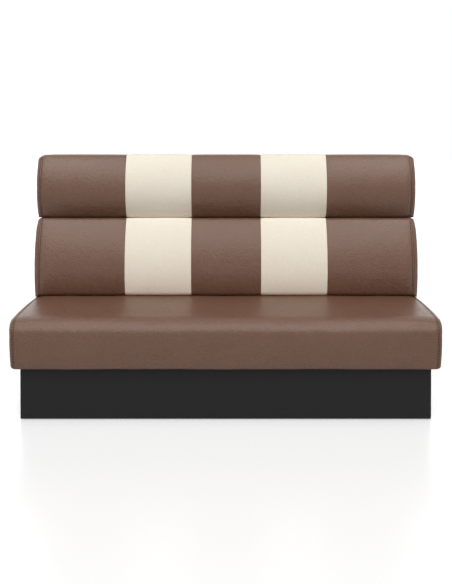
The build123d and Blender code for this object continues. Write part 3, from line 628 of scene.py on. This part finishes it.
def blownUp(name, points, faces, held):
    # how far each point of a closed skin moves under pressure while its seams and resting faces are held
    skin = addObject(name, outwardMesh(name, points, faces))
    group = skin.vertex_groups.new(name="held")
    group.add([int(index) for index in np.flatnonzero(held)], 1.0, "REPLACE")
    modifier = skin.modifiers.new("cloth", "CLOTH")
    modifier.collision_settings.use_collision = False
    settings = modifier.settings
    settings.quality, settings.mass = cloth["quality"], cloth["mass"]
    settings.tension_stiffness = settings.compression_stiffness = cloth["tension"]
    settings.bending_stiffness = cloth["bending"]
    settings.use_pressure, settings.uniform_pressure_force = True, cloth["pressure"]
    settings.vertex_group_mass = "held"
    settings.effector_weights.gravity = 0
    for step in range(1, cloth["frames"] + 1):
        scene.frame_set(step)
    blown = skin.evaluated_get(bpy.context.evaluated_depsgraph_get())
    places = np.empty(len(points) * 3)
    blown.data.vertices.foreach_get("co", places)
    bpy.data.objects.remove(skin)
    scene.frame_set(1)
    return places.reshape(-1, 3) - points


def swellSkin(name, form):
    # the whole skin of a roll or the seat as one closed mesh: left end, panels, right end
    trim = form["trim"]
    count = len(form["at"](0, 0)) - 2 * trim
    picks = np.unique(np.append(np.arange(0, count, 2), count - 1))
    heldPicks = (picks < form["held"][0]) | (picks >= count - form["held"][1])

    def ringOf(loop):
        rear = run(loop[picks[-1]], loop[picks[0]], cloth["rearPoints"] + 2)[1:-1]
        return np.vstack([loop[picks], rear])

    endRows = domeRows(form, cloth["near"], cloth["angles"], False)
    _, leftLoops, tipLeft = endGrid(form, -1, endRows, cloth["shares"])
    measures, rightLoops, tipRight = endGrid(form, 1, endRows, cloth["shares"])
    rows = [ringOf(loop) for loop in leftLoops[:0:-1]]
    pinned = [False] * len(rows)
    firstSeam, stretches = len(rows), []
    for index, (left, right) in enumerate(zip(form["seams"], form["seams"][1:])):
        knots = run(left, right, int((right - left) / form["pitch"]))
        inner = np.clip(knots, left + cloth["seamShape"], right - cloth["seamShape"])
        begin = len(rows) - (1 if index else 0)
        for k, (x, inset) in enumerate(zip(knots, panelInset(inner, left, right, form))):
            if index and k == 0:
                continue
            loop = form["at"](x, inset)[trim:-trim]
            rows.append(ringOf(np.column_stack([np.full(len(loop), x), loop])))
            pinned.append(k in (0, len(knots) - 1))
        stretches.append((knots, begin, len(rows)))
    lastSeam = len(rows) - 1
    rows += [ringOf(loop) for loop in rightLoops[1:]]
    pinned += [False] * (len(rows) - len(pinned))
    size = len(rows[0])
    points = np.vstack([*rows, [tipLeft], [tipRight]])
    faces = gridFaces(len(rows), size, closed=True)
    begin, tips = (len(rows) - 1) * size, len(rows) * size
    faces += [(tips, (j + 1) % size, j) for j in range(size)]
    faces += [(begin + j, begin + (j + 1) % size, tips + 1) for j in range(size)]
    held = np.zeros((len(rows), size), bool)
    held[np.array(pinned)] = True
    held[:, :len(picks)] |= heldPicks
    held[:, len(picks):] = True
    move = blownUp(f"{name}Skin", points, faces, np.append(held.ravel(), [False, False]))
    move = move[:len(rows) * size].reshape(len(rows), size, 3)[:, :len(picks)]
    print(f"cloth: {name} skin of {len(points)} points moved up to "
              f"{1000 * np.linalg.norm(move, axis=2).max():.1f} mm")
    form["picks"], form["count"], form["moves"] = picks, count, {}
    panels = np.zeros(len(rows), bool)
    panels[firstSeam:lastSeam + 1] = True
    for chosen, limit in ((panels, form["swell"]), (~panels, form["endSwell"])):
        largest = np.linalg.norm(move[chosen], axis=2).max()
        if largest > 0:
            move[chosen] *= limit / largest
    for knots, begin, end in stretches:
        form["moves"][round(float(knots[0]), 4)] = (knots, move[begin:end])
    form["moves"]["left"] = (measures, move[:firstSeam + 1][::-1])
    form["moves"]["right"] = (measures, move[lastSeam:])


def blend(places, knots, values):
    # a smooth curve through the values at the knots, read at other places
    slopes = np.gradient(values, knots, axis=0)
    k = np.clip(np.searchsorted(knots, places, side="right") - 1, 0, len(knots) - 2)
    gap = (knots[k + 1] - knots[k])[:, None]
    t = np.clip((places - knots[k])[:, None] / gap, 0, 1)
    return ((1 + 2 * t) * (1 - t) ** 2 * values[k] + t * (1 - t) ** 2 * gap * slopes[k]
            + t * t * (3 - 2 * t) * values[k + 1] + t * t * (t - 1) * gap * slopes[k + 1])


def moveAt(form, key, places):
    # the simulated movement of a stretch of the skin, at rows and outline points closer than the cloth's own
    knots, move = form["moves"][key]
    fine = blend(places, knots, move.reshape(len(move), -1)).reshape(len(places), -1, 3)
    fine = fine.transpose(1, 0, 2).reshape(fine.shape[1], -1)
    fine = blend(np.arange(form["count"]), form["picks"].astype(float), fine)
    return fine.reshape(form["count"], len(places), 3).transpose(1, 0, 2)


calm = {"seam": 0.03, "staples": 0.01, "fade": 0.05}  # where the unevenness dies away


def coverPanel(name, left, right, form, node, slotName):
    places = panelRows(left, right, form["pitch"] * cloth["coarser"])
    insets = panelInset(places, left, right, form)
    moves = np.pad(moveAt(form, round(left, 4), places), ((0, 0), (form["trim"],) * 2, (0, 0)))
    outer, inner = [], []
    for x, inset, move in zip(places, insets, moves):
        outside = form["at"](x, inset)
        inside = form["at"](x, inset + seam["thickness"], seam["thickness"])
        quiet = 1 - np.exp(-min(x - left, right - x) / calm["seam"])
        ripple = softness(x, outside[:, 1] + outside[:, 0], form["slack"]) * quiet
        loose = np.clip((form["rear"] - calm["staples"] - outside[:, 0]) / calm["fade"], 0, 1)
        for grid, line in ((outer, outside), (inner, inside)):
            line = line + outlineNormals(line) * (ripple * loose)[:, None]
            grid.append(np.column_stack([np.full(len(line), x), line]) + move)
    points, faces = shell(np.array(outer), np.array(inner))
    piece = makePiece(name, points, faces, node, slotName)
    return piece


stitch = {
    "start": 0.004,
    "pitch": 0.0125,  # really about 9 mm, longer so that each stitch shows
    "length": 0.0066,
    "radius": 0.0015,  # really about 0.4 mm, thicker so that the stitches show
    "lift": 0.00049,  # of the thread's middle above the cover, both up and outward
    "shares": (0, 0.12, 0.35, 0.65, 0.88, 1),  # places along a stitch, and its thickness at each
    "girth": (0.35, 0.8, 1, 1, 0.8, 0.35),
    "sides": 8,
}


def stitchRow(name, loop, node, side):
    # one thread of straight stitches along a line of points, each a short capsule half sunk in the cover
    lengths = np.concatenate([[0], np.cumsum(np.linalg.norm(np.diff(loop, axis=0), axis=1))])
    middle, sideways = loop.mean(axis=0), np.array([1.0, 0, 0])
    points, faces = [], []
    for start in np.arange(stitch["start"], lengths[-1] - stitch["length"], stitch["pitch"]):
        spots = [np.array([np.interp(start + stitch["length"] * t, lengths, loop[:, k]) for k in range(3)])
                 for t in stitch["shares"]]
        out = spots[2] - middle
        out[0] = 0
        spots = [spot + stitch["lift"] * (out / np.linalg.norm(out) + side * sideways) for spot in spots]
        lane = spots[-1] - spots[0]
        lift = np.cross(lane / np.linalg.norm(lane), sideways)
        faces += bandFaces(len(spots), stitch["sides"], len(points))
        for spot, share in zip(spots, stitch["girth"]):
            for turn in run(0, 2 * pi, stitch["sides"] + 1)[:-1]:
                points.append(spot + stitch["radius"] * share * (cos(turn) * sideways + sin(turn) * lift))
    mesh = bpy.data.meshes.new(name)
    mesh.from_pydata([tuple(p) for p in points], [], faces)
    mesh.shade_smooth()
    piece = addObject(name, mesh)
    mesh.materials.append(threadFinish)
    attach(piece, nodes[node]["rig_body"])
    return piece


endDetail = {"angles": range(57, 91, 4), "shares": (0.94, 0.86, 0.74, 0.6, 0.45, 0.3, 0.15)}


def domedEnd(name, side, form, node, slotName):
    # closed pad at one end, and the row of its points that carries the stitches
    rows = domeRows(form, endSteps, endDetail["angles"], True)
    measures, loops, tip = endGrid(form, side, rows, endDetail["shares"])
    moves = moveAt(form, "right" if side > 0 else "left", measures)
    loops = loops + moves
    tip = tip + moves[-1].mean(axis=0)
    size = loops.shape[1]
    points = np.vstack([loops.reshape(-1, 3), [tip]])
    faces = gridFaces(len(loops), size, closed=True)
    last, start = len(points) - 1, (len(loops) - 1) * size
    faces += [(start + j, start + (j + 1) % size, last) for j in range(size)]
    faces.append(tuple(range(size)))
    piece = makePiece(name, points, faces, node, slotName)
    return loops[endSteps.index(seam["stitchFrom"])][form["stitched"]]


def coverEnds(title, form, nodeStart):
    # the two domed ends of a cushion, each with its stitches
    for endName, side in (("left", -1), ("right", 1)):
        node = f"{nodeStart}_cover_{endName}_end"
        line = domedEnd(f"{title}End_{endName}", side, form, node, "brown_leatherette")
        stitchRow(f"{title}Stitches_{endName}", line, node, side)


for name, roll in rollShapes.items():
    swellSkin(name, roll)
    for panel, left, right in zip(panelNames, roll["seams"], roll["seams"][1:]):
        coverPanel(f"{name}RollCover_{panel}", left, right, roll, f"{name}_cover_{panel}",
                   panel.split("_")[0] + "_leatherette")
    coverEnds(f"{name}Roll", roll, name)
print("back rolls: two, of", len(panelNames), "panels and two ends each")

swellSkin("seat", seat)
coverPanel("seatCover", seat["left"], seat["right"], seat, "seat_cover_main", "brown_leatherette")
coverEnds("seat", seat, "seat")
print("seat: cover and two ends")


# padding, webbing and the covers that the photograph doesn't show

def closedBlock(name, places, loopAt, node, slotName):
    # closed block from loops of points across the bench, with flat ends
    loops = [np.column_stack([np.full(len(loopAt(x)), x), loopAt(x)]) for x in places]
    return makePiece(name, np.vstack(loops), bandFaces(len(loops), len(loops[0])), node, slotName)


def carve(piece, tool):
    # takes one closed mesh out of another
    cutter = addObject("cutter", tool)
    cut = piece.modifiers.new("cut", "BOOLEAN")
    cut.operation, cut.solver, cut.object = "DIFFERENCE", "EXACT", cutter
    result = bpy.data.meshes.new_from_object(piece.evaluated_get(bpy.context.evaluated_depsgraph_get()))
    piece.modifiers.clear()
    piece.data = result
    bpy.data.objects.remove(cutter)
    result.set_sharp_from_angle(angle=smoothAngle)


def boxMesh(low, high):
    mesh = bpy.data.meshes.new("cutterMesh")
    shape = bmesh.new()
    bmesh.ops.create_cube(shape, size=1)
    for vertex in shape.verts:
        vertex.co = [a + (b - a) * (c + 0.5) for a, b, c in zip(low, high, vertex.co)]
    shape.to_mesh(mesh)
    shape.free()
    return mesh


foam = {
    "skinGap": 0.0030,  # clear of the inside of the covers
    "places": 61,
    "seamPlaces": (-0.02, -0.008, 0, 0.008, 0.02),
    "railGap": 0.0003,  # round the frame that is cut out of the seat's foam
    "beyond": 0.05,  # how far the cut goes on outside it
}


def foamLoop(x, form):
    # the foam's surface follows the inside of the cover, and is squeezed in at each seam
    left = max([s for s in form["seams"][:-1] if s <= x + 1e-9] or [form["seams"][0]])
    right = min(s for s in form["seams"] if s > left + 1e-6)
    inset = float(panelInset(np.array([x]), left, right, form)[0]) + seam["thickness"] + foam["skinGap"]
    return form["at"](x, inset, seam["thickness"], padding=True)[form["foamed"]]


for name, roll in rollShapes.items():
    node = f"{name}_roll_foam"
    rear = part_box(node)[1].y
    start, end = roll["left"] + seam["gap"], roll["right"] - seam["gap"]
    places = np.unique(np.concatenate([run(start, end, foam["places"])]
                                      + [s + np.array(foam["seamPlaces"]) for s in roll["seams"]]))
    places = places[(places >= start) & (places <= end)]

    def rollFoamLoop(x):
        outline = foamLoop(x, roll)
        outline = outline[outline[:, 0] <= rear]
        return np.vstack([[rear, outline[0][1]], outline, [rear, outline[-1][1]]])

    piece = closedBlock(f"{name}RollFoam", places, rollFoamLoop, node, "foam")

low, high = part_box("seat_foam")
places = run(low.x, high.x, foam["places"])
piece = closedBlock("seatFoam", places, lambda x: foamLoop(x, seat), "seat_foam", "foam")
railLow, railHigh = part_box("seat_front_rail")
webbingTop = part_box("seat_webbing_long")[1].z
gap, beyond = foam["railGap"], foam["beyond"]
carve(piece, boxMesh((railLow.x - gap, railLow.y - gap, low.z - beyond),
                     (railHigh.x + gap, high.y + beyond, webbingTop + gap)))

straps = {
    "short": 14,
    "long": 4,
    "width": 0.050,
    "thickness": 0.0018,
    "edge": ((0, 0), (0.0005, 0.8), (0.0015, 1)),  # its rounding: way in, and share of the thickness
    "level": 0.3210,
    "wave": 0.00105,  # how far a strap goes up and down at its crossings
    "flat": 0.029,
    "step": 0.004,
}


def strapHeights(along, crossings, startsOver):
    # height of a strap's middle, over one crossing strap and under the next
    knots, heights = [along[0], crossings[0] - straps["width"]], [0, 0]
    sign = 1 if startsOver else -1
    for crossing in crossings:
        knots += [crossing - straps["flat"], crossing + straps["flat"]]
        heights += [sign, sign]
        sign = -sign
    knots += [crossings[-1] + straps["width"], along[-1]]
    heights += [0, 0]
    level = np.interp(along, knots, heights)
    level[2:-2] = (level[:-4] + level[1:-3] + level[2:-2] + level[3:-1] + level[4:]) / 5
    return straps["level"] + straps["wave"] * level


def strapBand(along, heights, across, alongX):
    # one woven strap with rounded edges, as a closed band
    edge = [(d - straps["width"] / 2, share * straps["thickness"] / 2) for d, share in straps["edge"]]
    top = edge + [(-side, lift) for side, lift in edge[::-1]]
    rim = top + [(side, -lift) for side, lift in top[-2:0:-1]]
    points = []
    for place, height in zip(along, heights):
        for side, lift in rim:
            point = (place, across + side) if alongX else (across + side, place)
            points.append((*point, height + lift))
    return points, len(rim)


shortLow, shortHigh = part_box("seat_webbing_short")
longLow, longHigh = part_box("seat_webbing_long")
half = straps["width"] / 2
shortPlaces = run(shortLow.x + half, shortHigh.x - half, straps["short"])
longPlaces = run(longLow.y + half, longHigh.y - half, straps["long"])
for title, node, places, crossings, start, end, alongX in (
    ("seatWebbingShort", "seat_webbing_short", shortPlaces, longPlaces, shortLow.y, shortHigh.y, False),
    ("seatWebbingLong", "seat_webbing_long", longPlaces, shortPlaces, longLow.x, longHigh.x, True),
):
    along = run(start, end, int((end - start) / straps["step"]))
    points, faces = [], []
    for index, across in enumerate(places):
        startsOver = index % 2 == (1 if alongX else 0)
        band, size = strapBand(along, strapHeights(along, crossings, startsOver), across, alongX)
        faces += bandFaces(len(along), size, len(points))
        points += band
    makePiece(title, points, faces, node, "webbing")

dust = {"counts": (120, 50), "clear": 0.0001, "sag": 0.00005, "edge": 0.03, "waves": (31, 43)}
low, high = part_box("seat_dust_cover")
gridX, gridY = np.meshgrid(*[run(a, b, n) for a, b, n in zip(low, high, dust["counts"])], indexing="ij")
edge = np.minimum.reduce([gridX - low.x, high.x - gridX, gridY - low.y, high.y - gridY])
sag = np.sin(dust["waves"][0] * gridX + 3) * np.sin(dust["waves"][1] * gridY)
sag = dust["sag"] * np.clip(edge / dust["edge"], 0, 1) * (1 + sag)
under = np.stack([gridX, gridY, low.z + dust["clear"] + sag], axis=2)
over = np.stack([gridX, gridY, np.full_like(sag, high.z - dust["clear"])], axis=2)
points, faces = shell(over, under)
piece = makePiece("seatDustCover", points, faces, "seat_dust_cover", "dust_cover")
print("padding: foams, webbing and dust cover")

back = {
    "thickness": 0.0012,
    "edgeRadius": 0.0012,
    "cornerRadius": 0.004,
    "puff": 0.0003,  # how far the rear cover's rim stands in from its middle
    "puffWidth": 0.003,
    # the holes round the linking inserts
    "holes": {"x": (-0.8688, 0.8688), "z": (0.35, 0.95), "radius": 0.00905, "depth": 0.01},
}
low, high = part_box("back_cover_rear")


def rearLoop(inset, y):
    # outline of the rear cover, square at the plinth and rounded at its top corners
    radius = back["cornerRadius"] - inset
    top = high.z - inset
    right = [(high.x - inset - radius + radius * sin(a), top - radius + radius * cos(a))
             for a in run(0, pi / 2, 7)]
    corners = right + [(high.x - inset, low.z + inset), (low.x + inset, low.z + inset)]
    corners += [(-x, z) for x, z in right[::-1]]
    return np.array([(x, y, z) for x, z in corners])


edge, puff = back["edgeRadius"], back["puff"]
loops = [rearLoop(0, low.y)]
loops += [rearLoop(edge * (1 - cos(a)), high.y - puff - edge * (1 - sin(a))) for a in run(0, pi / 2, 5)]
loops += [rearLoop(share * back["puffWidth"], high.y - puff * (1 - share)) for share in (0.7, 1)]
faces = bandFaces(len(loops), len(loops[0]))
piece = makePiece("backCoverRear", np.vstack(loops), faces, "back_cover_rear", "brown_leatherette")
tool = bpy.data.meshes.new("insertHoles")
shape = bmesh.new()
holes = back["holes"]
for x in holes["x"]:
    for z in holes["z"]:
        ring = bmesh.ops.create_cone(shape, cap_ends=True, segments=48, radius1=holes["radius"],
                                     radius2=holes["radius"], depth=holes["depth"])
        for vertex in ring["verts"]:
            vertex.co = (x + vertex.co.x, high.y + vertex.co.z, z + vertex.co.y)
shape.to_mesh(tool)
shape.free()
carve(piece, tool)

low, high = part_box("back_cover_border")


def borderLine(inset):
    # the border's path up one end, over the top and down the other
    radius = back["cornerRadius"] - inset
    x, top = high.x - inset, high.z - inset
    line = [(x, z) for z in run(low.z, top - radius, 40)[:-1]]
    line += [(x - radius + radius * cos(a), top - radius + radius * sin(a)) for a in run(0, pi / 2, 7)]
    across = [(t, top) for t in run(x - radius, -x + radius, 60)[1:-1]]
    line += across + [(-a, b) for a, b in line[::-1]]
    return np.array([[(x, y, z) for y in run(low.y, high.y, 9)] for x, z in line])


points, faces = shell(borderLine(0), borderLine(back["thickness"]))
makePiece("backCoverBorder", points, faces, "back_cover_border", "brown_leatherette")
print("back: rear cover and border")


# camera at the photograph's place

camera = {
    "place": (0.0145, -3.6965, 1.2179),
    "pitch": radians(1.1),
    "lens": 50.259,
    "sensor": 36,  # both in millimetres
    "rows": 584,  # of pixels, which the horizon and the focal length are measured in
    "horizon": 132.08,
    "focal": 815.3,
    "aside": -0.00544,
}
lens = bpy.data.cameras.new("camera")
lens.lens, lens.sensor_width, lens.shift_x = camera["lens"], camera["sensor"], camera["aside"]
horizon = camera["horizon"] + camera["focal"] * tan(camera["pitch"])
lens.shift_y = (horizon - camera["rows"] / 2) / camera["rows"]
viewer = addObject("camera", lens)
viewer.location = camera["place"]
viewer.rotation_euler = (pi / 2 - camera["pitch"], 0, 0)
scene.camera = viewer


# soft studio light on a white ground

studio = {
    "world": 0.06,
    "suns": {
        "overhead": {"energy": 0.20, "angle": 30, "tilt": -2, "turn": 0},
        "key": {"energy": 1.98, "angle": 60, "tilt": 48, "turn": 0},
        "leftSoftbox": {"energy": 0.32, "angle": 30, "tilt": 55, "turn": -65},
        "rightSoftbox": {"energy": 0.32, "angle": 30, "tilt": 55, "turn": 65},
        "rearFill": {"energy": 0.40, "angle": 60, "tilt": -66, "turn": 0},
    },
    "strips": {"energy": 4.5, "long": 1.2, "wide": 0.5, "aside": 1.25, "place": (-0.50, 2.15), "tilt": 20},
    "bounce": 0.2,  # what the white floor throws back on the object
    "floorGlow": 0.24,  # the rest of the white that the camera sees on the floor
    "floorHalf": 30,
}


def whereSeen(tree):
    # one where the white is looked at, directly or in a reflection, and nought where it only lights
    path = addNode(tree, "LightPath")
    seen = path.outputs["Is Camera Ray"]
    for ray in ("Is Glossy Ray", "Is Transmission Ray"):
        seen = addNode(tree, "Math", {"operation": "MAXIMUM"}, {0: seen, 1: path.outputs[ray]})
    return seen


pureWhite = (1, 1, 1, 1)
world = bpy.data.worlds.new("whiteStudio")
scene.world = world
world.use_nodes = True
tree = world.node_tree
tree.nodes.clear()
glow = addNode(tree, "Background", {"Color": pureWhite, "Strength": studio["world"]})
white = addNode(tree, "Background", {"Color": pureWhite, "Strength": 1})
both = addNode(tree, "MixShader", links={0: whereSeen(tree), 1: glow, 2: white})
addNode(tree, "OutputWorld", links={"Surface": both})
for name, values in studio["suns"].items():
    lamp = bpy.data.lights.new(name, "SUN")
    lamp.energy, lamp.angle = values["energy"], radians(values["angle"])
    addObject(name, lamp).rotation_euler = (radians(values["tilt"]), 0, radians(values["turn"]))

values = studio["strips"]  # two long softboxes above the front edge of the seat
for side, name in ((-1, "leftStrip"), (1, "rightStrip")):
    lamp = bpy.data.lights.new(name, "AREA")
    lamp.shape, lamp.energy = "RECTANGLE", values["energy"]
    lamp.size, lamp.size_y = values["long"], values["wide"]
    lampObject = addObject(name, lamp)
    lampObject.location = (side * values["aside"], *values["place"])
    lampObject.rotation_euler = (radians(values["tilt"]), 0, 0)
    lampObject.visible_camera = False

floorFinish, tree, shader, _ = newMaterial("polishedWhiteFloor", {"Roughness": 0.27, "IOR": 1.6,
                                           "Emission Color": pureWhite})
seen = whereSeen(tree)
tone = addNode(tree, "Mix", {"data_type": "RGBA", 6: (*[studio["bounce"]] * 3, 1), 7: pureWhite},
               {0: seen})
glow = addNode(tree, "Math", {"operation": "MULTIPLY", 1: studio["floorGlow"]}, {0: seen})
tree.links.new(glow.outputs[0], shader.inputs["Emission Strength"])
tree.links.new(tone.outputs[2], shader.inputs["Base Color"])
mesh = bpy.data.meshes.new("floor")
half = studio["floorHalf"]
corners = [(x * half, y * half, 0) for x, y in ((-1, -1), (1, -1), (1, 1), (-1, 1))]
mesh.from_pydata(corners, [], [(0, 1, 2, 3)])
floor = addObject("floor", mesh)
mesh.materials.append(floorFinish)
scene.view_settings.view_transform = "Standard"
print("studio: lamps", len(bpy.data.lights))
